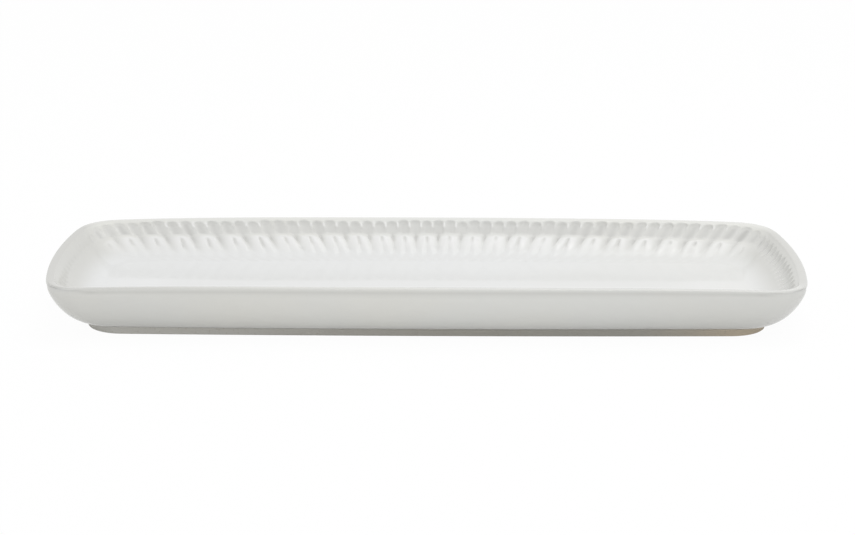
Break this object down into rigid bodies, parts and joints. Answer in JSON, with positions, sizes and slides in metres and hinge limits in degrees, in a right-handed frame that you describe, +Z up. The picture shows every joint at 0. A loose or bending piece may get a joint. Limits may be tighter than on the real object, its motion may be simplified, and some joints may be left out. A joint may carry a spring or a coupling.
{
  "type": "snack platter",
  "caption": "Long rectangular stoneware snack platter with a rounded lip, a fluted inner wall, a flat well and a low bare foot ring.",
  "frame": {"origin": "on the table under the middle of the platter, in the plane of the foot ring's bearing face", "axes": "+X along the platter's length, +Y across its width, +Z up"},
  "size_m": [0.36, 0.133, 0.0283],
  "materials": {
    "white_glaze": "gloss off-white glaze, thicker and greyer in the hollows, thin and creamy on the lip",
    "bare_clay": "matt fired stoneware, sandy, left bare on the foot ring"
  },
  "bodies": {
    "root": {"stoneware_body": "bare_clay", "glaze_coat": "white_glaze", "base_glaze": "white_glaze"}
  },
  "joints": []
}
